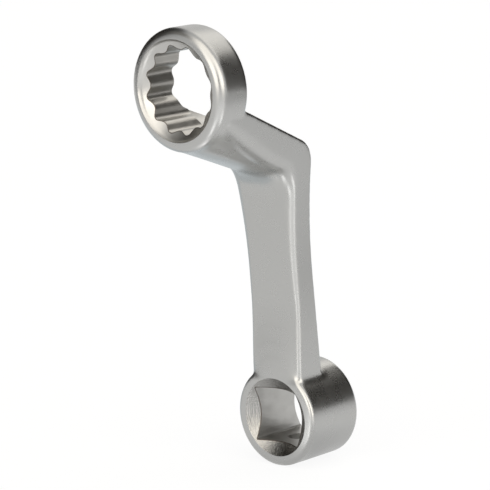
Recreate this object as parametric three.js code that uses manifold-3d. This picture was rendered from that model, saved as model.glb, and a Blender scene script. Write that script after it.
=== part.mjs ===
// Camber adjustment wrench: a chrome-plated forging with a twelve-point ring at the top, a square drive hub at
// the foot, and a cranked shank between them that sets the ring ahead of the hub and beside its axis.
// Millimetres. Y is the direction of both tool axes, front to back, and Z runs up the shank to the ring.
// The origin is the centre of the hub's front face, on the drive axis.
import * as THREE from "three";
import { mergeVertices } from "three/addons/utils/BufferGeometryUtils.js";
import Module from "manifold-3d";

// The two tool sizes, and where the ring lies from the hub
const driveSquare = 12.7; // across the flats of the drive socket
const ringSize = 18; // across the flats of the twelve-point socket
const axisSpacing = 80.9; // from the drive axis up to the ring axis
const ringLead = 28.5; // the ring's front face ahead of the hub's

// Drive hub
const hubWall = 2.82; // steel outside the corners of the square
const hubLength = 16.4;
const hubFrontEdge = 1; // rounding of the front rim
const hubRearEdge = 1;
const squareMouthMargin = 0.42; // the countersink's rim outside the corners of the square
const squareMouthSlope = 38; // degrees that the countersink falls from the end face
const detentDiameter = 5.2; // cross hole for the drive's spring ball

// Ring
const ringWall = 3.75; // steel outside the roots of the points
const ringWidth = 9.3;
const ringFrontEdge = 1.9;
const ringRearEdge = 1;
const leadInMargin = 1.25; // the lead-in cone's rim outside the roots of the points
const leadInSlope = 38; // degrees that the cone falls from the front face
const tipRounding = 1; // how far along each flank the rounding of a tip runs
const rootRounding = 0.9;
const pointTurn = 3.6; // degrees that the points are turned clockwise, seen from the front
const socketReach = 3.4; // how far the points run on behind the ring, into the neck
const reliefMargin = 0.2; // the plain bore behind the points, outside their roots

// Shank, from the hub up to the crank
const shankWidth = 15.3;
const footThickness = 7.6; // front to back beside the hub
const shankThickness = 6.6; // at the crank
const footRecess = 0.3; // the shank's front face behind the hub's, beside the hub
const shankRecess = 1.15; // and further up
const recessHeight = 20; // where the front face has fallen back by this much
const kneeHeight = 27; // where the front face starts to lean towards the ring
const shankLean = 4.3; // degrees
const footRadius = 2.7; // hollow corner between the shank's sides and the hub
const flareDrop = 46.8; // the sides start to spread this far below the ring axis
const flareRadius = 143; // of the spreading curve
const flareHeight = 27; // above this the sides run straight on to the ring
const frontEdge = 1.3; // rounding of the shank's long edges
const rearEdge = 0.8;

// Neck, from the crank forward to the ring
const undersideSlope = 20.3; // degrees that the underside climbs towards the ring
const undersideRun = 5.4; // it meets the ring's lowest line this far behind the front face
const topSlope = 24.9; // degrees that the upper side climbs towards the ring
const topDrop = 4.7; // it meets the ring's rear face this far below the ring axis
const innerBend = 7.5; // radius under the neck
const outerBend = 7; // radius over the crank
const neckCover = 4; // the neck's upper side runs on this far inside the ring
const crankBelly = 1; // the underside is round from side to side: its depth at the crank
const ringBelly = 5; // and at the ring
const ridgeEdge = 3; // rounding of the belly's side edges at the ring
const bellyGrowth = 1.7; // how late the belly deepens along the neck

// Where the three zones of the forging meet
const footStub = 2.6; // shank left on the hub, above the hollow corner

// Facets
const roundSteps = 80; // of a full turn
const edgeSteps = 4; // of a quarter turn on an edge
const bendSteps = 7;
const neckSteps = 9;
const footSteps = 4;
const lowerSteps = 6;
const upperSteps = 10;
const bellySteps = 8;
const cornerSteps = 3; // on each tip and root of the points
const weld = 1e-4; // vertices closer than this are one
const clear = 5; // cutters run this far past the faces that they open

// Sizes that follow from these
const radians = THREE.MathUtils.degToRad;
const cornerRadius = driveSquare / Math.SQRT2;
const hubRadius = cornerRadius + hubWall;
const pointCount = 12;
const pointStep = (2 * Math.PI) / pointCount;
const tipRadius = ringSize / 2 / Math.cos(pointStep / 2);
const rootRadius = ringSize / 2 / Math.cos(pointStep);
const ringRadius = rootRadius + ringWall;
const ringFront = -ringLead;
const ringRear = ringFront + ringWidth;
const socketEnd = ringRear + socketReach;
const flareStart = axisSpacing - flareDrop;
const sideWidth = shankWidth / 2;

// Centre of the hollow corner between a side of the shank and the hub, and where it touches the hub
const footCentre = sideWidth + footRadius;
const footTop = Math.sqrt((hubRadius + footRadius) ** 2 - footCentre ** 2);
const footTouch = (footTop * hubRadius) / (hubRadius + footRadius);
const footCut = footTop + footStub;

const wasm = await Module();
wasm.setup();

// A closed geometry as a solid that can be joined and cut
function solid(geometry) {
  geometry.deleteAttribute("normal");
  geometry.deleteAttribute("uv");
  const merged = mergeVertices(geometry, weld);
  const triVerts = new Uint32Array(merged.index.array);
  const vertProperties = merged.attributes.position.array;
  return new wasm.Manifold(new wasm.Mesh({ numProp: 3, vertProperties, triVerts }));
}

// A solid as a named mesh
function meshOf(name, body, material) {
  const { vertProperties, triVerts } = body.getMesh();
  const geometry = new THREE.BufferGeometry();
  geometry.setAttribute("position", new THREE.BufferAttribute(vertProperties, 3));
  geometry.setIndex(new THREE.BufferAttribute(triVerts, 1));
  geometry.computeVertexNormals();
  const mesh = new THREE.Mesh(geometry, material);
  mesh.name = name;
  return mesh;
}

// A solid turned about a line parallel to Y at a height, from [radius, y] pairs that start and end on the line
function turned(profile, height) {
  const points = profile.map(([radius, y]) => new THREE.Vector2(radius, y));
  return solid(new THREE.LatheGeometry(points, roundSteps).translate(0, 0, height));
}

// A disc with rounded rims, from its front face to its rear face
function roundedDisc(radius, front, rear, frontRim, rearRim, height) {
  const profile = [[0, front]];
  for (let i = 0; i <= edgeSteps; i++) {
    const turn = (i / edgeSteps) * (Math.PI / 2);
    profile.push([radius - frontRim * (1 - Math.sin(turn)), front + frontRim * (1 - Math.cos(turn))]);
  }
  for (let i = 0; i <= edgeSteps; i++) {
    const turn = (i / edgeSteps) * (Math.PI / 2);
    profile.push([radius - rearRim * (1 - Math.cos(turn)), rear - rearRim * (1 - Math.sin(turn))]);
  }
  profile.push([0, rear]);
  return turned(profile, height);
}

// A cone that opens a face: its rim on the face, falling inwards along Y in the direction given, 1 or -1
function countersink(rimRadius, face, slope, direction, height) {
  const fall = Math.tan(radians(slope));
  const deepest = face + direction * rimRadius * fall;
  const outside = face - direction * clear;
  const flank = [rimRadius + clear / fall, outside];
  const profile = direction > 0 ? [[0, outside], flank, [0, deepest]] : [[0, deepest], flank, [0, outside]];
  return turned(profile, height);
}

// A box from its lowest to its highest corner
function block(low, high) {
  const size = high.clone().sub(low);
  const middle = high.clone().add(low).multiplyScalar(0.5);
  return solid(new THREE.BoxGeometry(size.x, size.y, size.z).translate(middle.x, middle.y, middle.z));
}

// Outline of the points: two hexagons a step apart, with their crossings and corners rounded
function pointOutline() {
  const corners = [];
  for (let i = 0; i < 2 * pointCount; i++) {
    const reach = i % 2 ? rootRadius : tipRadius;
    const angle = (i * pointStep) / 2 + radians(pointTurn);
    corners.push(new THREE.Vector2(reach * Math.cos(angle), reach * Math.sin(angle)));
  }
  const flank = corners[0].distanceTo(corners[1]);
  const room = flank / (tipRounding + rootRounding);
  const outline = new THREE.Shape();
  corners.forEach((corner, i) => {
    const before = corners.at(i - 1);
    const after = corners[(i + 1) % corners.length];
    const share = ((i % 2 ? rootRounding : tipRounding) * Math.min(1, room)) / flank;
    const enter = corner.clone().lerp(before, share);
    const leave = corner.clone().lerp(after, share);
    if (i) outline.lineTo(enter.x, enter.y);
    else outline.moveTo(enter.x, enter.y);
    outline.quadraticCurveTo(corner.x, corner.y, leave.x, leave.y);
  });
  outline.closePath();
  return outline;
}

// Half the width at a height, seen along the tool axes: a hollow corner at the hub, parallel sides, and a long
// curve that spreads them to the ring
function halfWidth(z) {
  if (z < footTop) {
    const fall = Math.min(footTop - z, footTop - footTouch);
    return footCentre - Math.sqrt(footRadius ** 2 - fall ** 2);
  }
  const rise = Math.max(0, z - flareStart);
  const curved = Math.min(rise, flareHeight);
  return sideWidth + curved ** 2 / (2 * flareRadius) + ((rise - curved) * flareHeight) / flareRadius;
}

// Where two lines in the side view cross, each a point and a direction, as [y, z] vectors
function crossing(pointA, alongA, pointB, alongB) {
  const gap = pointB.clone().sub(pointA);
  return pointA.clone().addScaledVector(alongA, gap.cross(alongB) / alongA.cross(alongB));
}

// A corner of the side view rounded on a radius: the arc's points, from the line before it to the line after it
function bend(before, corner, after, radius) {
  const back = before.clone().sub(corner).normalize();
  const on = after.clone().sub(corner).normalize();
  const halfAngle = Math.acos(back.dot(on)) / 2;
  const start = corner.clone().addScaledVector(back, radius / Math.tan(halfAngle));
  const inward = back.clone().add(on).normalize();
  const centre = corner.clone().addScaledVector(inward, radius / Math.sin(halfAngle));
  const turn = (Math.PI - 2 * halfAngle) * Math.sign(on.cross(back));
  const points = [];
  for (let i = 0; i <= bendSteps; i++) points.push(start.clone().rotateAround(centre, (turn * i) / bendSteps));
  return points;
}

// A cross-section of the forging between a point of its front line and one of its rear line: a rectangle with
// rounded corners, whose sides follow halfWidth and whose front edge swells into a belly
function section(front, rear, frontRadius, belly) {
  const depth = front.distanceTo(rear);
  const into = rear.clone().sub(front).normalize();
  const half = [];
  for (let i = 0; i <= edgeSteps; i++) {
    const turn = (i / edgeSteps) * (Math.PI / 2);
    half.push([frontRadius * (1 - Math.sin(turn)), belly + frontRadius * (1 - Math.cos(turn))]);
  }
  for (let i = 0; i <= edgeSteps; i++) {
    const turn = (i / edgeSteps) * (Math.PI / 2);
    half.push([rearEdge * (1 - Math.cos(turn)), depth - rearEdge * (1 - Math.sin(turn))]);
  }
  const right = half.map(([inset, down]) => {
    const point = front.clone().addScaledVector(into, down);
    return new THREE.Vector3(halfWidth(point.y) - inset, point.x, point.y);
  });
  const left = right.map((point) => new THREE.Vector3(-point.x, point.y, point.z)).reverse();
  const across = spread(-1, 1, bellySteps).slice(0, -1).map((share) => {
    const point = front.clone().addScaledVector(into, belly * share ** 2);
    return new THREE.Vector3(share * right[0].x, point.x, point.y);
  });
  return [...left, ...across, ...right];
}

// A solid through a row of sections with the same number of points, closed at both ends
function loft(sections) {
  const count = sections[0].length;
  const last = (sections.length - 1) * count;
  const corners = [];
  for (let s = 0; s < sections.length - 1; s++) {
    for (let i = 0; i < count; i++) {
      const a = s * count + i;
      const b = s * count + ((i + 1) % count);
      corners.push(a, b, b + count, a, b + count, a + count);
    }
  }
  for (let i = 1; i < count - 1; i++) {
    corners.push(0, i + 1, i);
    corners.push(last, last + i, last + i + 1);
  }
  const geometry = new THREE.BufferGeometry().setFromPoints(sections.flat());
  return solid(geometry.setIndex(corners));
}

// Evenly spread values from one end to the other, without the first
function spread(from, to, steps) {
  return Array.from({ length: steps }, (_, i) => from + ((to - from) * (i + 1)) / steps);
}

// Side view of the forging, as [y, z] vectors: its front line runs up the shank, turns under the crank and climbs
// the neck's underside; its rear line turns over the crank and climbs the neck's upper side
const lean = radians(shankLean);
const frontKnee = new THREE.Vector2(shankRecess, kneeHeight);
const frontUp = new THREE.Vector2(-Math.sin(lean), Math.cos(lean));
const underEnd = new THREE.Vector2(ringFront + undersideRun, axisSpacing - ringRadius);
const underAlong = new THREE.Vector2(-Math.cos(radians(undersideSlope)), Math.sin(radians(undersideSlope)));
const innerCorner = crossing(frontKnee, frontUp, underEnd, underAlong);

const rearFoot = new THREE.Vector2(shankRecess + footThickness, hubRadius);
const rearCrank = innerCorner.clone().add(new THREE.Vector2(frontUp.y, -frontUp.x).multiplyScalar(shankThickness));
const rearUp = rearCrank.clone().sub(rearFoot).normalize();
const topEnd = new THREE.Vector2(ringRear, axisSpacing - topDrop);
const topAlong = new THREE.Vector2(-Math.cos(radians(topSlope)), Math.sin(radians(topSlope)));
const outerCorner = crossing(rearFoot, rearUp, topEnd, topAlong);

// A point of each line at a height below the crank
function frontAt(z) {
  const rise = Math.max(0, z - kneeHeight);
  const fallen = THREE.MathUtils.smoothstep(z, footTouch, recessHeight);
  return new THREE.Vector2(THREE.MathUtils.lerp(footRecess, shankRecess, fallen) - rise * Math.tan(lean), z);
}
function rearAt(z) {
  return rearFoot.clone().addScaledVector(rearUp, (z - rearFoot.y) / rearUp.y);
}

// Shank and neck as one loft: level sections up to the knee, which then tilt to the crank, fan round it and
// run on along the neck while the belly deepens towards the round of the ring
function crankedShank() {
  const innerArc = bend(frontKnee, innerCorner, underEnd, innerBend);
  const outerArc = bend(rearFoot, outerCorner, topEnd, outerBend);
  const sections = [];
  const levels = [0, footTouch, ...spread(footTouch, footTop, footSteps), ...spread(footTop, kneeHeight, lowerSteps)];
  for (const z of levels) sections.push(section(frontAt(z), rearAt(z), frontEdge, 0));
  for (const share of spread(0, 1, upperSteps).slice(0, -1)) {
    const frontHeight = THREE.MathUtils.lerp(kneeHeight, innerArc[0].y, share);
    const rearHeight = THREE.MathUtils.lerp(kneeHeight, outerArc[0].y, share);
    sections.push(section(frontAt(frontHeight), rearAt(rearHeight), frontEdge, 0));
  }
  innerArc.forEach((point, i) => {
    const belly = crankBelly * THREE.MathUtils.smoothstep(i, 0, bendSteps);
    sections.push(section(point, outerArc[i], frontEdge, belly));
  });
  const frontEnd = underEnd.clone().addScaledVector(underAlong, (undersideRun - ringFrontEdge) / -underAlong.x);
  const rearEnd = topEnd.clone().addScaledVector(topAlong, neckCover / -topAlong.x);
  const ridgeEnd = Math.min(ridgeEdge, frontEnd.distanceTo(rearEnd) - ringBelly - rearEdge);
  for (const share of spread(0, 1, neckSteps)) {
    const front = innerArc.at(-1).clone().lerp(frontEnd, share);
    const rear = outerArc.at(-1).clone().lerp(rearEnd, share);
    const grown = share ** bellyGrowth;
    const ridge = THREE.MathUtils.lerp(frontEdge, ridgeEnd, grown);
    sections.push(section(front, rear, ridge, THREE.MathUtils.lerp(crankBelly, ringBelly, grown)));
  }
  return loft(sections);
}

// Hub: a disc with the square through it, a countersink at each end and the detent's cross hole below
function driveSocket() {
  const half = driveSquare / 2;
  const low = new THREE.Vector3(-half, -clear, -half);
  const high = new THREE.Vector3(half, hubLength + clear, half);
  const rim = cornerRadius + squareMouthMargin;
  const detent = new THREE.CylinderGeometry(detentDiameter / 2, detentDiameter / 2, hubRadius, roundSteps / 2);
  detent.rotateX(Math.PI / 2).translate(0, hubLength / 2, -hubRadius / 2 - half / 2);
  return block(low, high)
    .add(countersink(rim, 0, squareMouthSlope, 1, 0))
    .add(countersink(rim, hubLength, squareMouthSlope, -1, 0))
    .add(solid(detent));
}

// Ring: the points from the front face to their end in the neck, the lead-in cone, and the plain bore behind
function ringSocket() {
  const depth = socketEnd - ringFront + clear;
  const points = new THREE.ExtrudeGeometry(pointOutline(), { depth, bevelEnabled: false, curveSegments: cornerSteps });
  points.rotateX(-Math.PI / 2).translate(0, ringFront - clear, axisSpacing);
  const relief = rootRadius + reliefMargin;
  const bore = [[0, socketEnd], [relief, socketEnd], [relief, hubLength], [0, hubLength]];
  return solid(points)
    .add(countersink(rootRadius + leadInMargin, ringFront, leadInSlope, 1, axisSpacing))
    .add(turned(bore, axisSpacing));
}

const hubDisc = roundedDisc(hubRadius, 0, hubLength, hubFrontEdge, hubRearEdge, 0);
const ringDisc = roundedDisc(ringRadius, ringFront, ringRear, ringFrontEdge, ringRearEdge, axisSpacing);
const forging = crankedShank().add(hubDisc).add(ringDisc).subtract(driveSocket()).subtract(ringSocket());

// The forging's three zones, which meet on flat planes: level above the hub, and upright behind the points
const reach = axisSpacing + ringLead + hubLength + ringRadius;
const belowFoot = block(new THREE.Vector3(-reach, -reach, -reach), new THREE.Vector3(reach, reach, footCut));
const aheadOfNeck = block(new THREE.Vector3(-reach, -reach, footCut), new THREE.Vector3(reach, socketEnd, reach));

const satin = { metalness: 1, roughness: 0.42 };
const turnedFinish = { metalness: 1, roughness: 0.3 };
const wrench = new THREE.Group();
wrench.name = "camber_adjustment_wrench";
wrench.add(
  meshOf(
    "ring_head",
    forging.intersect(aheadOfNeck),
    new THREE.MeshStandardMaterial({ color: 0xbcbcb8, ...turnedFinish }),
  ),
  meshOf(
    "cranked_shank",
    forging.subtract(belowFoot).subtract(aheadOfNeck),
    new THREE.MeshStandardMaterial({ color: 0xaeaeac, ...satin }),
  ),
  meshOf(
    "drive_hub",
    forging.intersect(belowFoot),
    new THREE.MeshStandardMaterial({ color: 0xb8b8b5, ...turnedFinish }),
  ),
);

export default wrench;
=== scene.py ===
import math
import bmesh
import bpy
from mathutils import Matrix, Vector
from mathutils.bvhtree import BVHTree


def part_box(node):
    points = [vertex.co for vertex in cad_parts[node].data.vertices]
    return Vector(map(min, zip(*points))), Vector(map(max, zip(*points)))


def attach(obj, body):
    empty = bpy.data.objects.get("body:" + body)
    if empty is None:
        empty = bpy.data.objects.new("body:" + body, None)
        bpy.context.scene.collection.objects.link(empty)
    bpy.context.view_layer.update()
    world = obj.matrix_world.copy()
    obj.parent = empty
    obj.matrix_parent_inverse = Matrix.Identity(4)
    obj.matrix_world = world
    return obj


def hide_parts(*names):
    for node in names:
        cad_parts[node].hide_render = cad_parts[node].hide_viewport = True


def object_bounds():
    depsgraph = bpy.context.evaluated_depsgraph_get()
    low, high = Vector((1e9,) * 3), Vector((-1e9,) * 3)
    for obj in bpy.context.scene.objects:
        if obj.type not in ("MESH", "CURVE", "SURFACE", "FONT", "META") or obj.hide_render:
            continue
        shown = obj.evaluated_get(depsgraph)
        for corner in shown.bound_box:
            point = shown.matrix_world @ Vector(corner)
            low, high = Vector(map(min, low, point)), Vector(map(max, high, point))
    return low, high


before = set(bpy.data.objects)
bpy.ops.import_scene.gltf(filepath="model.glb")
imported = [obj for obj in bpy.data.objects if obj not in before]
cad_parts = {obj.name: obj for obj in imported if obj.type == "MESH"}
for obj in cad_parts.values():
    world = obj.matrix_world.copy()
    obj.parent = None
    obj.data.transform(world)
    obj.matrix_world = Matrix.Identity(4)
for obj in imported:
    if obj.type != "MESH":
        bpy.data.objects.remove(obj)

cadLow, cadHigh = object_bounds()  # the CAD box, before anything is dressed
mm = 0.001  # the forging is shaped in millimetres and brought to metres at the end

ringLow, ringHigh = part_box("ring_head")
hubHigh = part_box("drive_hub")[1]
ringRadius = ringHigh.x / mm
ringAxis = ringHigh.z / mm - ringRadius
ringFront = ringLow.y / mm
hubRadius = hubHigh.x / mm
hubLength = hubHigh.y / mm
print("frame loaded: ring axis at", round(ringAxis, 2), "mm, hub radius", round(hubRadius, 2), "mm")


# Camera: where the photograph was taken from
photoView = {
    "azimuth": 43.25,  # degrees round the tool from its front
    "elevation": 10.82,
    "roll": -2.43,
    "position": (423.9, -458.36, 160.86),  # mm
    "focalPixels": 2735.45,
    "imagePixels": 490,
    "sensorWidth": 36,  # mm
    "clip": (0.01, 50),  # m
}


def addCamera(view):
    azimuth, elevation, roll = (math.radians(view[k]) for k in ("azimuth", "elevation", "roll"))
    back = Vector((
        math.sin(azimuth) * math.cos(elevation),
        -math.cos(azimuth) * math.cos(elevation),
        math.sin(elevation),
    ))
    level = Vector((math.cos(azimuth), math.sin(azimuth), 0))
    upright = back.cross(level)
    right = level * math.cos(roll) + upright * math.sin(roll)
    up = upright * math.cos(roll) - level * math.sin(roll)
    lens = bpy.data.cameras.new("photoCamera")
    lens.sensor_width = view["sensorWidth"]
    lens.lens = view["focalPixels"] / view["imagePixels"] * lens.sensor_width
    lens.clip_start, lens.clip_end = view["clip"]
    camera = bpy.data.objects.new("photoCamera", lens)
    turn = Matrix((right, up, back)).transposed().to_4x4()
    camera.matrix_world = Matrix.Translation(Vector(view["position"]) * mm) @ turn
    bpy.context.scene.collection.objects.link(camera)
    bpy.context.scene.camera = camera


addCamera(photoView)
print("camera placed")


# Small helpers for meshes
def meshObject(name, bm):
    mesh = bpy.data.meshes.new(name)
    bm.to_mesh(mesh)
    bm.free()
    made = bpy.data.objects.new(name, mesh)
    bpy.context.scene.collection.objects.link(made)
    return made


def applyModifiers(made):
    graph = bpy.context.evaluated_depsgraph_get()
    mesh = bpy.data.meshes.new_from_object(made.evaluated_get(graph))
    made.modifiers.clear()
    made.data = mesh


def cutAway(made, cutter):
    boolean = made.modifiers.new("cut", "BOOLEAN")
    boolean.object = cutter
    boolean.operation = "DIFFERENCE"
    boolean.solver = "EXACT"
    boolean.material_mode = "TRANSFER"
    applyModifiers(made)
    bpy.data.objects.remove(cutter)


# Materials: one chrome plate over surfaces that were made in different ways
def linear(hexColour):  # by the sRGB curve
    channels = [int(hexColour[i:i + 2], 16) / 255 for i in (1, 3, 5)]
    return [c / 12.92 if c <= 0.04045 else ((c + 0.055) / 1.055) ** 2.4 for c in channels] + [1]


def addNode(tree, kind, settings=None, **links):
    node = tree.nodes.new(kind)
    for key, value in (settings or {}).items():
        if key in node.inputs:
            node.inputs[key].default_value = value
        else:
            setattr(node, key, value)
    for key, socket in links.items():
        tree.links.new(socket, node.inputs[key])
    return node


# Satin chrome on a blasted forging: a pale grey mirror, blurred by a fine even grain
blastedForging = {
    "name": "satinChromePlate",
    "colour": "#b0b0ae",
    "roughness": (0.26, 0.3),
    "cloud": 4,  # mm, size of the cloudy patches in the gloss
    "grain": 0.3,  # mm, drawn coarser than the real grit so that it shows
    "stretch": 1,
    "depth": 0.01,  # of the grain's size
}
# Turned lead-in cone: the same plate on cut steel, rougher, with a base colour a little brighter
# than the plate's, which is painted light
turnedCone = {
    "name": "chromedTurnedSteel",
    "colour": "#b6b5b2",
    "roughness": (0.28, 0.36),
    "cloud": 3,
    "grain": 0.4,
    "stretch": 1,
    "depth": 0.03,
}
# Broached points: drawn along the axis by the tool, so their grain is long
broachedPoints = {
    "name": "chromedBroachedSteel",
    "colour": "#b0aea9",
    "roughness": (0.3, 0.38),
    "cloud": 2.5,
    "grain": 0.35,
    "stretch": 14,  # times as long as wide
    "depth": 0.008,
}
# Punched square: flat walls, dull and a little cloudy, with a base colour a little lighter than the
# plate's, which is painted light in the recess
punchedWall = {
    "name": "chromedPunchedSteel",
    "colour": "#b8b7b4",
    "roughness": (0.32, 0.44),
    "cloud": 3,
    "grain": 0.5,
    "stretch": 4,
    "depth": 0.05,
}
# Countersunk mouths: a coarse, pitted grain from the drill under the plate, and a base colour
# darker than the plate's, which is painted shade in the recess
coarseMouthPaintedShade = {
    "name": "drilledSteelPaintedShade",
    "colour": "#999895",
    "roughness": (0.16, 0.26),
    "cloud": 1.5,
    "grain": 0.28,
    "stretch": 1,
    "depth": 0.32,
}
# Edges of the square and the points: a painted dark reflection, a brown-grey line standing in for
# the dark surroundings that their rounded edges reflect
paintedDarkEdge = {
    "name": "paintedEdgeReflection",
    "colour": "#58514b",
    "roughness": (0.45, 0.55),
    "cloud": 1.5,
    "grain": 0.3,
    "stretch": 1,
    "depth": 0.05,
}

# Noise that varies the gloss and the grain of every finish
plateNoise = {
    "cloudDetail": 3.0,
    "grainDetail": 0.5,
    "span": (0.3, 0.7),  # most of the noise lies between these
}


def makeChrome(c, n):
    material = bpy.data.materials.new(c["name"])
    material.use_nodes = True
    tree = material.node_tree
    shader = tree.nodes["Principled BSDF"]
    shader.inputs["Base Color"].default_value = linear(c["colour"])
    shader.inputs["Metallic"].default_value = 1
    place = addNode(tree, "ShaderNodeTexCoord")
    patches = addNode(tree, "ShaderNodeTexNoise", {
        "Scale": 1 / (c["cloud"] * mm), "Detail": n["cloudDetail"],
    }, Vector=place.outputs["Object"])
    gloss = addNode(tree, "ShaderNodeMapRange", {
        "From Min": n["span"][0], "From Max": n["span"][1],
        "To Min": c["roughness"][0], "To Max": c["roughness"][1],
    }, Value=patches.outputs["Fac"])
    tree.links.new(gloss.outputs["Result"], shader.inputs["Roughness"])
    along = addNode(tree, "ShaderNodeMapping", {"Scale": (1, 1 / c["stretch"], 1)},
                    Vector=place.outputs["Object"])
    grit = addNode(tree, "ShaderNodeTexNoise", {
        "Scale": 1 / (c["grain"] * mm), "Detail": n["grainDetail"],
    }, Vector=along.outputs["Vector"])
    relief = addNode(tree, "ShaderNodeBump", {
        "Strength": 1.0, "Distance": c["grain"] * c["depth"] * mm,
    }, Height=grit.outputs["Fac"])
    tree.links.new(relief.outputs["Normal"], shader.inputs["Normal"])
    return material


chrome = {spec["name"]: makeChrome(spec, plateNoise) for spec in (
    blastedForging, turnedCone, broachedPoints, punchedWall, coarseMouthPaintedShade, paintedDarkEdge,
)}


# Forging: a rounded ring, a rounded hub, and the cranked shank between them
forging = {
    "ringWidth": 9.3,
    "ringFrontRim": 2.2,  # radius of the rounded rims
    "ringRearRim": 1.3,
    "hubFrontRim": 1.0,
    "hubRearRim": 0.9,
    "turns": 320,  # facets round a disc
    "rimSteps": 8,  # and across its rims
    "shankWidth": 15.25,
    "footRadius": 2.9,  # hollow corner between the shank's sides and the hub
    "flareDrop": 46.8,  # the sides start to spread this far below the ring axis
    "flareRadius": 143,
    "flareHeight": 27,
    "setback": 1.15,  # the front is flush with the hub's at the foot and falls back this far
    "setbackFrom": 8,  # between these heights
    "setbackTo": 26,
    "footCrown": 0.7,  # at the foot only its middle is flush, its edges stand this far back
    "leanFrom": 27,
    "lean": 4.3,  # degrees that the shank leans to the ring above that
    "footThickness": 7.6,
    "crankThickness": 6.6,
    "undersideSlope": 20.3,  # degrees
    "undersideRun": 2.5,  # the underside meets the ring's lowest line this far behind its front
    "topSlope": 24.9,
    "topDrop": 4.7,  # the upper side meets the ring's rear face this far below the axis
    "innerBend": 7.5,
    "outerBend": 7.0,
    "crankBelly": 1.0,  # the underside is rounder towards the ring: depth of its belly
    "ringBelly": 5.0,
    "bellyGrowth": 1.7,
    "bellyFullness": 3,  # 2 is a parabola, more is flatter below and rounder at the sides
    "bellyCuts": 16,
    "frontEdge": 1.25,  # roundness of the shank's front edges
    "crankEdge": 2.6,  # at the crank
    "bendEdge": 3.4,  # behind its bend
    "ridgeEdge": 3.0,  # and at the ring, where they are the sides of the belly
    "ridgeGrowth": 2,
    "rearEdge": 0.75,
    "frontSteps": 12,  # facets on the rounded edges
    "rearSteps": 10,
    "flatWithin": 0.01,  # tells the flat front of a section from its rounded edges
    "hubHeights": (0, 4, 7),  # sections inside the hub
    "closeHeights": (7.5, 0.35, 12),  # close above it: first, step and count
    "plainHeights": (12.5, 1, 16),  # and up to where the lean starts
    "shankSteps": 24,  # sections from there to the crank
    "bendSteps": 14,
    "neckSteps": 24,
    "neckCover": 4,  # the neck reaches this far into the ring
    "voxel": 0.33,
    "smoothing": 0.5,  # share of the way to its neighbours that a vertex goes in a pass
    "relax": 4,  # passes all over, first
    "polish": 3,  # and last
    "fillPasses": 90,  # passes in the hollow corners
    "fillRings": 5,
    "hollow": 0.012,  # a vertex this far inside its neighbours is in a hollow corner
    "nearBoth": 1.5,  # and it is near two of the three shapes
    "fadeRings": 4,
    "meltPasses": 40,  # passes where the neck's underside runs into the ring
    "meltFront": (1.2, 2),  # behind the ring's front: limit and fade
    "meltRear": (-9, 9),  # depth
    "meltBelow": (2.6, 4),  # under the neck's top
    "meltLevel": -1,  # the top counts as level from this far in front of the ring's rear
    "facePasses": 120,  # passes where the shank's front runs into the hub's
    "faceLow": (8, 1.5),  # its limits and fades in height, width and depth
    "faceHigh": (27, 4),
    "faceSide": (6.9, 1.2),
    "faceDepth": (3, 1),
    "weld": 0.0005,  # vertices this close are joined
    "sharpAngle": 32,  # degrees
}
ringRear = ringFront + forging["ringWidth"]


def roundedDisc(radius, front, rear, frontRim, rearRim, height, f):
    bm = bmesh.new()
    bmesh.ops.create_cone(
        bm, cap_ends=True, segments=f["turns"], radius1=radius, radius2=radius, depth=rear - front
    )
    middle = (front + rear) / 2
    bmesh.ops.rotate(bm, verts=bm.verts, matrix=Matrix.Rotation(math.radians(90), 3, "X"))
    bmesh.ops.translate(bm, verts=bm.verts, vec=(0, middle, height))
    for isFront, rim in ((True, frontRim), (False, rearRim)):
        edges = [
            e for e in bm.edges
            if all((v.co.y < middle) == isFront for v in e.verts) and len(e.link_faces) == 2
            and any(len(face.verts) > 4 for face in e.link_faces)  # round a flat end
        ]
        bmesh.ops.bevel(
            bm, geom=edges, offset=rim, segments=f["rimSteps"], profile=0.5, affect="EDGES",
            material=-1,
        )
    return bm


def halfWidth(z, f):
    side = f["shankWidth"] / 2
    centre = side + f["footRadius"]
    top = math.sqrt((hubRadius + f["footRadius"]) ** 2 - centre ** 2)
    if z < top:
        touch = top * hubRadius / (hubRadius + f["footRadius"])
        fall = min(top - z, top - touch)
        return centre - math.sqrt(f["footRadius"] ** 2 - fall ** 2)
    rise = max(0, z - (ringAxis - f["flareDrop"]))
    curved = min(rise, f["flareHeight"])
    straight = (rise - curved) * f["flareHeight"] / f["flareRadius"]
    return side + curved ** 2 / (2 * f["flareRadius"]) + straight


def easeInOut(share):
    share = min(1, max(0, share))
    return share * share * (3 - 2 * share)


def between(a, b, share):
    return a + (b - a) * share


def frontLine(z, f):
    sink = easeInOut((z - f["setbackFrom"]) / (f["setbackTo"] - f["setbackFrom"]))
    lean = max(0, z - f["leanFrom"]) * math.tan(math.radians(f["lean"]))
    return Vector((f["setback"] * sink - lean, z))


def crossing(a, alongA, b, alongB):
    gap = b - a
    return a + alongA * (gap.cross(alongB) / alongA.cross(alongB))


def bendPoints(before, corner, after, radius, steps):
    back = (before - corner).normalized()
    on = (after - corner).normalized()
    half = back.angle(on) / 2
    start = corner + back * (radius / math.tan(half))
    centre = corner + (back + on).normalized() * (radius / math.sin(half))
    turn = (math.pi - 2 * half) * (1 if on.cross(back) > 0 else -1)
    return [
        centre + Matrix.Rotation(turn * i / steps, 2) @ (start - centre) for i in range(steps + 1)
    ]


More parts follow.
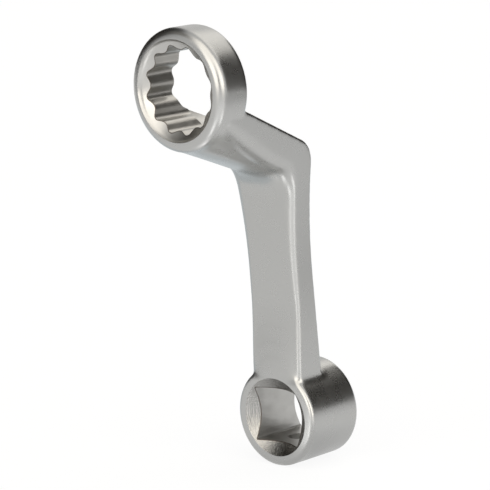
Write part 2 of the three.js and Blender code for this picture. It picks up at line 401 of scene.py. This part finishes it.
def sectionLoop(front, rear, belly, frontEdge, f):
    inward = (rear - front).normalized()
    edge = front + inward * belly  # the lower edges stand this far above the belly's middle
    half = halfWidth(edge.y, f)
    halfRear = halfWidth(rear.y, f)
    bm = bmesh.new()
    ends = ((-half, edge), (half, edge), (halfRear, rear), (-halfRear, rear))
    corners = [bm.verts.new((x, p.x, p.y)) for x, p in ends]
    bm.faces.new(corners)
    for pair, offset, segments in (
        (corners[:2], frontEdge, f["frontSteps"]),
        (corners[2:], f["rearEdge"], f["rearSteps"]),
    ):
        bmesh.ops.bevel(
            bm, geom=pair, offset=offset, segments=segments, profile=0.5, affect="VERTICES",
            material=-1,
        )
    level = Vector((0, edge.x, edge.y))
    lower = max(
        (e for e in bm.edges if all((v.co - level).yz.length < f["flatWithin"] for v in e.verts)),
        key=lambda e: e.calc_length(),
    )
    flat = max(abs(v.co.x) for v in lower.verts)
    across = bmesh.ops.subdivide_edges(bm, edges=[lower], cuts=f["bellyCuts"])["geom_inner"]
    for v in across:
        if isinstance(v, bmesh.types.BMVert):
            drop = belly * (1 - abs(v.co.x / flat) ** f["bellyFullness"])
            v.co.y -= inward.x * drop
            v.co.z -= inward.y * drop
    bm.faces.ensure_lookup_table()
    loop = [v.co.copy() for v in bm.faces[0].verts]
    bm.free()
    return loop


def crankedShank(f):
    lean = math.radians(f["lean"])
    knee = Vector((f["setback"], f["leanFrom"]))
    up = Vector((-math.sin(lean), math.cos(lean)))
    under = Vector((ringFront + f["undersideRun"], ringAxis - ringRadius))
    underSlope, topSlope = math.radians(f["undersideSlope"]), math.radians(f["topSlope"])
    underAlong = Vector((-math.cos(underSlope), math.sin(underSlope)))
    inner = crossing(knee, up, under, underAlong)
    foot = Vector((f["setback"] + f["footThickness"], hubRadius))
    rearUp = (inner + Vector((up.y, -up.x)) * f["crankThickness"] - foot).normalized()
    top = Vector((ringRear, ringAxis - f["topDrop"]))
    topAlong = Vector((-math.cos(topSlope), math.sin(topSlope)))
    outer = crossing(foot, rearUp, top, topAlong)
    innerArc = bendPoints(knee, inner, under, f["innerBend"], f["bendSteps"])
    outerArc = bendPoints(foot, outer, top, f["outerBend"], f["bendSteps"])

    def rearLine(z):
        return foot + rearUp * ((z - foot.y) / rearUp.y)

    # Sections from the hub to the ring: front and rear point, belly, roundness of the front edges
    stations = []
    heights = list(f["hubHeights"])
    for first, step, count in (f["closeHeights"], f["plainHeights"]):
        heights += [first + step * i for i in range(count)]
    for z in heights:
        front = frontLine(z, f)
        crown = f["footCrown"] * (1 - front.x / f["setback"]) if z < f["leanFrom"] else 0
        stations.append((front, rearLine(z), crown, f["frontEdge"]))
    for i in range(1, f["shankSteps"]):
        share = i / f["shankSteps"]
        low = between(heights[-1], innerArc[0].y, share)
        high = between(heights[-1], outerArc[0].y, share)
        edge = between(f["frontEdge"], f["crankEdge"], share)
        stations.append((frontLine(low, f), rearLine(high), 0, edge))
    for i, (p, q) in enumerate(zip(innerArc, outerArc)):
        share = easeInOut(i / f["bendSteps"])
        edge = between(f["crankEdge"], f["bendEdge"], share)
        stations.append((p, q, f["crankBelly"] * share, edge))
    frontEnd = under + underAlong * ((f["undersideRun"] - f["ringFrontRim"]) / -underAlong.x)
    rearEnd = top + topAlong * (f["neckCover"] / -topAlong.x)
    for i in range(1, f["neckSteps"] + 1):
        share = i / f["neckSteps"]
        belly = between(f["crankBelly"], f["ringBelly"], share ** f["bellyGrowth"])
        edge = between(f["bendEdge"], f["ridgeEdge"], share ** f["ridgeGrowth"])
        low, high = innerArc[-1].lerp(frontEnd, share), outerArc[-1].lerp(rearEnd, share)
        stations.append((low, high, belly, edge))

    bm = bmesh.new()
    before = None
    for front, rear, belly, edge in stations:
        verts = [bm.verts.new(co) for co in sectionLoop(front, rear, belly, edge, f)]
        loop = [bm.edges.new((verts[i - 1], verts[i])) for i in range(len(verts))]
        if before:
            bmesh.ops.bridge_loops(bm, edges=before + loop)
        before = loop
    bmesh.ops.holes_fill(bm, edges=bm.edges, sides=0)
    bmesh.ops.recalc_face_normals(bm, faces=bm.faces)
    return bm


def smoothOut(bm, verts, passes, f, onlyDepth=False):
    for _ in range(passes):
        bmesh.ops.smooth_vert(
            bm, verts=verts, factor=f["smoothing"],
            use_axis_x=not onlyDepth, use_axis_y=True, use_axis_z=not onlyDepth,
        )


def fadeAbove(value, zone):
    limit, fade = zone
    return easeInOut((value - limit) / fade)


def fadeBelow(value, zone):
    limit, fade = zone
    return easeInOut((limit - value) / fade)


def underNeck(co, f):
    slope = math.tan(math.radians(f["topSlope"]))
    top = ringAxis - f["topDrop"] - max(f["meltLevel"], co.y - ringRear) * slope
    below, fade = f["meltBelow"]
    return (
        fadeAbove(co.y - ringFront, f["meltFront"])
        * fadeBelow(co.y, f["meltRear"])
        * fadeBelow(co.z, (top - below, fade))
    )


def footFace(co, f):
    return (
        fadeAbove(co.z, f["faceLow"])
        * fadeBelow(co.z, f["faceHigh"])
        * fadeBelow(abs(co.x), f["faceSide"])
        * fadeBelow(co.y, f["faceDepth"])
    )


def meltZone(bm, zone, passes, onlyDepth, f):
    melt = {v: zone(v.co, f) for v in bm.verts}
    melting = [v for v in bm.verts if melt[v] > 0]
    plain = [v.co.copy() for v in melting]
    smoothOut(bm, melting, passes, f, onlyDepth)
    for v, co in zip(melting, plain):
        v.co = co.lerp(v.co, melt[v])


def widen(found, rings):
    for _ in range(rings):
        found = found | {e.other_vert(v) for v in found for e in v.link_edges}
    return found


def hollowCorners(bm, trees, f):
    found = set()
    for v in bm.verts:
        around = [e.other_vert(v).co for e in v.link_edges]
        middle = sum(around, Vector()) / len(around)
        if (middle - v.co).dot(v.normal) > f["hollow"]:
            second = sorted(tree.find_nearest(v.co)[3] for tree in trees)[1]
            if second < f["nearBoth"]:
                found.add(v)
    return widen(found, f["fillRings"])


def settle(bm, trees, blends, f):
    weight = {v: 0 for v in blends}
    edge = blends
    rings = f["fadeRings"]
    for ring in range(1, rings + 1):  # fade from the blends to the plain surfaces
        wider = widen(edge, 1)
        weight.update({v: ring / (rings + 1) for v in wider - edge})
        edge = wider
    for v in bm.verts:
        share = weight.get(v, 1)
        if share:
            nearest = min((tree.find_nearest(v.co) for tree in trees), key=lambda hit: hit[3])
            v.co = v.co.lerp(nearest[0], share)


def forgedBody(f):
    ringRims = f["ringFrontRim"], f["ringRearRim"]
    hubRims = f["hubFrontRim"], f["hubRearRim"]
    pieces = (
        roundedDisc(ringRadius, ringFront, ringRear, *ringRims, ringAxis, f),
        roundedDisc(hubRadius, 0, hubLength, *hubRims, 0, f),
        crankedShank(f),
    )
    trees = [BVHTree.FromBMesh(piece) for piece in pieces]
    blank = bmesh.new()
    for piece in pieces:
        mesh = bpy.data.meshes.new("blank")
        piece.to_mesh(mesh)
        piece.free()
        blank.from_mesh(mesh)
        bpy.data.meshes.remove(mesh)
    body = meshObject("wrench_forging", blank)
    body.data.materials.append(chrome[blastedForging["name"]])
    remesh = body.modifiers.new("fuse", "REMESH")
    remesh.mode = "VOXEL"
    remesh.voxel_size = f["voxel"]
    applyModifiers(body)

    bm = bmesh.new()
    bm.from_mesh(body.data)
    smoothOut(bm, bm.verts, f["relax"], f)
    bm.normal_update()
    hollows = hollowCorners(bm, trees, f)
    settle(bm, trees, hollows, f)
    meltZone(bm, underNeck, f["meltPasses"], False, f)
    smoothOut(bm, [v for v in bm.verts if v in hollows], f["fillPasses"], f)
    meltZone(bm, footFace, f["facePasses"], True, f)
    smoothOut(bm, bm.verts, f["polish"], f)
    bm.to_mesh(body.data)
    bm.free()
    return body


body = forgedBody(forging)
print("forging fused:", len(body.data.polygons), "faces")


# Sockets: an outline is carried through a few layers along the axis and cut out of the forging
ringSocket = {
    "acrossFlats": 17.8,
    "points": 12,
    "turn": -3.6,  # degrees that the points are turned from the shank's line
    "deeper": 0.3,  # the corners stand off a plain double hexagon, before they are rounded
    "crestRound": 0.9,
    "crestSteps": 7,
    "valleyRound": 1.1,
    "valleySteps": 8,
    "flankCuts": 5,
    "mouthRadius": 11.65,
    "lips": ((0.25, 62), (0.25, 50), (0.25, 39)),  # the lead-in flattens: widths and slopes
    "mouthSlope": 28,
    "darkLineWidth": 0.16,  # a painted dark reflection, drawn as a dark line along the points' front edges
    "reachBehind": 3.4,  # the points run on behind the ring's rear face
    "reliefMargin": 0.2,  # plain bore behind the points
    "past": 4,  # the cutter starts this far in front of the ring
}
driveSocket = {
    "acrossFlats": 12.75,
    "corner": 0.45,
    "cornerSteps": 5,
    "flankCuts": 24,
    "mouthRadius": 9.4,
    "mouthSlope": 38,
    # width of the painted dark reflection line along the square's edges
    "darkLineWidth": 0.18,
    "past": 3,  # the cutter goes this far past either end of the hub
    "detent": 5.2,  # hole for the drive's spring ball
    "detentTurns": 48,
}


def pointOutline(s):
    step = math.pi / s["points"]
    root = s["acrossFlats"] / 2 / math.cos(2 * step) + s["deeper"]
    crest = s["acrossFlats"] / 2 / math.cos(step) - s["deeper"]
    bm = bmesh.new()
    verts = bmesh.ops.create_circle(bm, segments=2 * s["points"], radius=root)["verts"]
    turn = Matrix.Rotation(step + math.radians(s["turn"]), 3, "Z")
    for i, v in enumerate(verts):
        if i % 2:
            v.co *= crest / root
        v.co = turn @ v.co
    return bm, (
        (verts[0::2], s["valleyRound"], s["valleySteps"]),
        (verts[1::2], s["crestRound"], s["crestSteps"]),
    )


def squareOutline(s):
    bm = bmesh.new()
    corner = s["acrossFlats"] / math.sqrt(2)
    verts = bmesh.ops.create_circle(bm, segments=4, radius=corner)["verts"]
    bmesh.ops.rotate(bm, verts=verts, matrix=Matrix.Rotation(math.radians(45), 3, "Z"))
    return bm, ((verts, s["corner"], s["cornerSteps"]),)


def socketCutter(name, outline, cuts, height, layers, finishes):
    bm, rounded = outline
    bm.faces.new(list(bm.verts))
    for verts, offset, segments in rounded:
        bmesh.ops.bevel(
            bm, geom=verts, offset=offset, segments=segments, profile=0.5, affect="VERTICES",
            material=-1,
        )
    longest = max(e.calc_length() for e in bm.edges)
    flanks = [e for e in bm.edges if e.calc_length() > longest / 2]
    bmesh.ops.subdivide_edges(bm, edges=flanks, cuts=cuts)
    bmesh.ops.delete(bm, geom=list(bm.faces), context="FACES_ONLY")
    current = list(bm.verts)
    polar = [(math.atan2(v.co.y, v.co.x), v.co.to_2d().length) for v in current]
    for index, place in enumerate(layers):
        if index:
            frontier = set(current)
            edges = [e for e in bm.edges if all(v in frontier for v in e.verts)]
            new = bmesh.ops.extrude_edge_only(bm, edges=edges)["geom"]
            moved = {v for v in new if isinstance(v, bmesh.types.BMVert)}
            for face in new:
                if isinstance(face, bmesh.types.BMFace):
                    face.material_index = index - 1
            follow = {}
            for v in current:
                for e in v.link_edges:
                    if e.other_vert(v) in moved:
                        follow[v] = e.other_vert(v)
            current = [follow[v] for v in current]
        for v, (angle, radius) in zip(current, polar):
            r, y = place(radius)
            v.co = (r * math.cos(angle), y, height + r * math.sin(angle))
    bmesh.ops.holes_fill(bm, edges=bm.edges, sides=0)
    bmesh.ops.recalc_face_normals(bm, faces=bm.faces)
    made = meshObject(name, bm)
    for finish in finishes:
        made.data.materials.append(chrome[finish["name"]])
    return made


def ringCutter(s):
    fall = math.tan(math.radians(s["mouthSlope"]))
    end = ringRear + s["reachBehind"]
    relief = s["acrossFlats"] / 2 / math.cos(2 * math.pi / s["points"]) + s["reliefMargin"]
    past, darkLine = s["past"], s["darkLineWidth"]
    rims = [(s["mouthRadius"] + past / math.tan(math.radians(s["lips"][0][1])), ringFront - past)]
    edge, depth = s["mouthRadius"], ringFront
    for width, slope in s["lips"]:
        edge, depth = edge - width, depth + width * math.tan(math.radians(slope))
        rims.append((edge, depth))
    layers = (
        *(lambda r, at=at: at for at in rims),
        lambda r: (r + darkLine, rims[-1][1] + (rims[-1][0] - r - darkLine) * fall),
        lambda r: (r, rims[-1][1] + (rims[-1][0] - r) * fall),
        lambda r: (r, end - (relief - r)),
        lambda r: (relief, end),
        lambda r: (relief, hubLength),
    )
    # the narrow band next to the points carries the painted dark reflection line
    finishes = (turnedCone,) * len(rims) + (paintedDarkEdge, broachedPoints, broachedPoints, turnedCone)
    return socketCutter(
        "ringCutter", pointOutline(s), s["flankCuts"], ringAxis, layers, finishes
    )


def driveCutter(s):
    fall = math.tan(math.radians(s["mouthSlope"]))
    past, darkLine = s["past"], s["darkLineWidth"]
    layers = (
        lambda r: (s["mouthRadius"] + past / fall, -past),
        lambda r: (r + darkLine, (s["mouthRadius"] - r - darkLine) * fall),
        lambda r: (r, (s["mouthRadius"] - r) * fall),
        lambda r: (r, hubLength - (s["mouthRadius"] - r) * fall),
        lambda r: (r + darkLine, hubLength - (s["mouthRadius"] - r - darkLine) * fall),
        lambda r: (s["mouthRadius"] + past / fall, hubLength + past),
    )
    # the mouths' darker base colour is painted shade
    # the narrow bands on the square's edges carry the painted dark reflection line
    finishes = (coarseMouthPaintedShade, paintedDarkEdge, punchedWall, paintedDarkEdge, coarseMouthPaintedShade)
    return socketCutter("driveCutter", squareOutline(s), s["flankCuts"], 0, layers, finishes)


def detentCutter(s):
    bm = bmesh.new()
    radius = s["detent"] / 2
    bmesh.ops.create_cone(
        bm, cap_ends=True, segments=s["detentTurns"], radius1=radius, radius2=radius,
        depth=hubRadius,
    )
    height = -hubRadius / 2 - s["acrossFlats"] / 4
    bmesh.ops.translate(bm, verts=bm.verts, vec=(0, hubLength / 2, height))
    made = meshObject("detentCutter", bm)
    made.data.materials.append(chrome[punchedWall["name"]])
    return made


cutAway(body, ringCutter(ringSocket))
cutAway(body, driveCutter(driveSocket))
cutAway(body, detentCutter(driveSocket))
print("sockets cut:", len(body.data.polygons), "faces")


def finishBody(made, f):
    bm = bmesh.new()
    bm.from_mesh(made.data)
    bmesh.ops.remove_doubles(bm, verts=bm.verts, dist=f["weld"])
    bmesh.ops.scale(bm, verts=bm.verts, vec=(mm, mm, mm))
    bm.to_mesh(made.data)
    bm.free()
    made.data.shade_smooth()
    made.data.set_sharp_from_angle(angle=math.radians(f["sharpAngle"]))


finishBody(body, forging)

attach(body, "root")
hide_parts("ring_head", "cranked_shank", "drive_hub")


# Stage: a white floor, and a studio of soft bright and dark fields all round
stage = {
    "floorSize": 6000,  # mm
    "floorColour": "#f4f4f3",
    "floorRoughness": 0.9,
    "floorGlow": 0.9,  # share of plain white in what the camera and the metal see of it
    "boardLift": 0.1,  # mm that each board lies above the one before
    "boardSteps": 8,
    "boards": (  # azimuth and span in degrees, reach in mm, near and far level, colour
        (47, 84, 130, 480, 1.4, 1.0, "#ffffff"),  # bright in front
        (17, 18, 75, 200, 2.6, 1.0, "#ffffff"),  # and brighter on either side of the camera
        (77, 18, 75, 200, 2.6, 1.0, "#ffffff"),
        (140, 80, 90, 520, 1.0, 0.4, "#ffffff"),  # darker towards the card behind, painted shade on the floor
        (232, 112, 40, 420, 0.84, 1.0, "#f2f9fd"),  # grey on the left of it, a painted shadow on the floor
        # the three boards that reach in to the foot are painted contact shadow, seen only by the
        # metal
        (180, 170, 0, 40, 0.6, 1.0, "#ffffff"),  # and close to the foot, a painted contact shadow
        (330, 120, 0, 35, 0.8, 1.0, "#ffffff"),
        (75, 90, 0, 60, 0.8, 1.0, "#ffffff"),
        (355, 44, 18, 75, 2.4, 1.0, "#ffffff"),  # bright, seen by the neck in the shank
    ),
    "feltColour": "#24221f",
    "cards": (  # dark cards: corners in mm, with heights above the floor
        (  # behind
            (-60, 330, 45), (520, 330, 45), (520, 330, 500), (200, 330, 425), (100, 330, 402),
            (-30, 330, 385), (-65, 330, 335),
        ),
        (  # on the left
            (-500, -460, 10), (-500, -300, 10), (-500, -240, 140), (-500, 400, 140),
            (-500, 400, 400), (-500, -460, 400),
        ),
    ),
    "base": (0.8, "#ffffff"),  # level and colour where there is no field
    "fields": (  # direction, full within and gone beyond these angles, level, colour
        ((0.05, 0.72, 0.69), 20, 35, 1.55, "#fdfaf5"),  # bright, behind and high
        ((-0.7, 0.7, 0.15), 14, 34, 0.85, "#fdfcfa"),  # bright, behind on the left
        ((0.2, -0.935, 0.29), 17, 29, 3.0, "#fffaf2"),  # softbox left of the camera
        ((0.1, -0.76, 0.64), 12, 24, 2.3, "#fffaf2"),  # and its upper end
        ((0.951, -0.168, 0.259), 14, 26, 3.0, "#fffaf2"),  # softbox right of the camera
        ((0.74, -0.23, 0.63), 12, 24, 2.5, "#fffaf2"),  # and its upper end
        ((0.27, -0.47, 0.84), 18, 30, 2.1, "#fffaf2"),  # bright above the camera
        ((-0.86, -0.04, 0.5), 28, 40, 0.02, "#fffaf2"),  # dark, left and high
        ((-0.56, -0.47, 0.68), 10, 20, 0.2, "#fffaf2"),  # and high in front
        ((0.673, -0.716, 0.188), 5, 11, 0.35, "#fffaf2"),  # dark, round the camera
    ),
}


def makeFloor(s):
    bm = bmesh.new()
    bmesh.ops.create_grid(bm, x_segments=1, y_segments=1, size=s["floorSize"] / 2 * mm)
    bmesh.ops.translate(bm, verts=bm.verts, vec=(0, 0, cadLow.z))
    floor = meshObject("floor", bm)
    paper = bpy.data.materials.new("whitePaper")
    paper.use_nodes = True
    tree = paper.node_tree
    shader = tree.nodes["Principled BSDF"]
    shader.inputs["Base Color"].default_value = linear(s["floorColour"])
    shader.inputs["Roughness"].default_value = s["floorRoughness"]
    glow = addNode(tree, "ShaderNodeEmission", {"Color": (1, 1, 1, 1), "Strength": 1})
    path = addNode(tree, "ShaderNodeLightPath")
    seen = addNode(tree, "ShaderNodeMath", {"operation": "MAXIMUM"})
    tree.links.new(path.outputs["Is Camera Ray"], seen.inputs[0])
    tree.links.new(path.outputs["Is Glossy Ray"], seen.inputs[1])
    through = addNode(tree, "ShaderNodeMath", {"operation": "MAXIMUM"})
    tree.links.new(seen.outputs[0], through.inputs[0])
    tree.links.new(path.outputs["Is Transmission Ray"], through.inputs[1])
    share = addNode(tree, "ShaderNodeMath", {"operation": "MULTIPLY"})
    tree.links.new(through.outputs[0], share.inputs[0])
    share.inputs[1].default_value = s["floorGlow"]
    mix = addNode(tree, "ShaderNodeMixShader")
    tree.links.new(share.outputs[0], mix.inputs[0])
    tree.links.new(shader.outputs[0], mix.inputs[1])
    tree.links.new(glow.outputs[0], mix.inputs[2])
    tree.links.new(mix.outputs[0], tree.nodes["Material Output"].inputs["Surface"])
    floor.data.materials.append(paper)


def showOnlyToMetal(made):
    made.visible_camera = False  # out of sight from every side, and the floor stays plain
    made.visible_diffuse = False
    made.visible_shadow = False


def makeBoards(s):
    for number, (azimuth, span, near, far, nearLevel, farLevel, colour) in enumerate(s["boards"]):
        glow = bpy.data.materials.new("boardFacing%d" % azimuth)
        glow.use_nodes = True
        tree = glow.node_tree
        lamp = addNode(tree, "ShaderNodeEmission", {"Color": linear(colour)})
        place = addNode(tree, "ShaderNodeTexCoord")
        away = addNode(tree, "ShaderNodeVectorMath", {"operation": "LENGTH"})
        tree.links.new(place.outputs["Object"], away.inputs[0])
        fade = addNode(tree, "ShaderNodeMapRange", {
            "interpolation_type": "SMOOTHSTEP",
            "From Min": near * mm,
            "From Max": far * mm,
            "To Min": nearLevel,
            "To Max": farLevel,
        }, Value=away.outputs["Value"])
        tree.links.new(fade.outputs["Result"], lamp.inputs["Strength"])
        tree.links.new(lamp.outputs[0], tree.nodes["Material Output"].inputs["Surface"])
        bm = bmesh.new()
        half = math.radians(span / 2)
        steps = s["boardSteps"]
        ends = [(near * mm, -half), (near * mm, half)]
        ends += [(far * mm, between(half, -half, i / steps)) for i in range(steps + 1)]
        bm.faces.new([bm.verts.new((r * math.sin(a), -r * math.cos(a), 0)) for r, a in ends])
        bmesh.ops.rotate(bm, verts=bm.verts, matrix=Matrix.Rotation(math.radians(azimuth), 3, "Z"))
        height = cadLow.z + s["boardLift"] * (number + 1) * mm
        bmesh.ops.translate(bm, verts=bm.verts, vec=(0, 0, height))
        bmesh.ops.recalc_face_normals(bm, faces=bm.faces)
        board = meshObject("floor_board_%d" % azimuth, bm)
        board.data.materials.append(glow)
        showOnlyToMetal(board)


def makeCards(s):
    felt = bpy.data.materials.new("blackFelt")
    felt.use_nodes = True
    shader = felt.node_tree.nodes["Principled BSDF"]
    shader.inputs["Base Color"].default_value = linear(s["feltColour"])
    shader.inputs["Roughness"].default_value = 1
    shader.inputs["Specular IOR Level"].default_value = 0
    floor = Vector((0, 0, cadLow.z))
    for number, corners in enumerate(s["cards"]):
        bm = bmesh.new()
        bm.faces.new([bm.verts.new(Vector(c) * mm + floor) for c in corners])
        card = meshObject("dark_card_%d" % number, bm)
        card.data.materials.append(felt)
        showOnlyToMetal(card)


def makeStudio(s):
    world = bpy.data.worlds.new("studio")
    bpy.context.scene.world = world
    world.use_nodes = True
    tree = world.node_tree
    where = addNode(tree, "ShaderNodeTexCoord").outputs["Generated"]
    first, second, mixed = 6, 7, 2  # a Mix node's sockets for colours
    level, colour = s["base"]
    light = addNode(tree, "ShaderNodeRGB").outputs[0]
    light.default_value = [c * level for c in linear(colour)]
    for direction, full, gone, level, colour in s["fields"]:
        facing = addNode(tree, "ShaderNodeVectorMath", {"operation": "DOT_PRODUCT"})
        tree.links.new(where, facing.inputs[0])
        facing.inputs[1].default_value = Vector(direction).normalized()
        fade = addNode(tree, "ShaderNodeMapRange", {
            "interpolation_type": "SMOOTHSTEP",
            "From Min": math.cos(math.radians(gone)),
            "From Max": math.cos(math.radians(full)),
        }, Value=facing.outputs["Value"])
        mix = addNode(tree, "ShaderNodeMix", {"data_type": "RGBA"})
        tree.links.new(fade.outputs["Result"], mix.inputs["Factor"])
        tree.links.new(light, mix.inputs[first])
        mix.inputs[second].default_value = [c * level for c in linear(colour)]
        light = mix.outputs[mixed]
    path = addNode(tree, "ShaderNodeLightPath")
    plain = addNode(tree, "ShaderNodeMix", {"data_type": "RGBA"})
    tree.links.new(path.outputs["Is Camera Ray"], plain.inputs["Factor"])
    tree.links.new(light, plain.inputs[first])
    plain.inputs[second].default_value = (1, 1, 1, 1)  # the camera sees plain white
    tree.links.new(plain.outputs[mixed], tree.nodes["Background"].inputs["Color"])


makeFloor(stage)
makeBoards(stage)
makeCards(stage)
makeStudio(stage)
bpy.context.scene.view_settings.view_transform = "Standard"
print("stage lit")
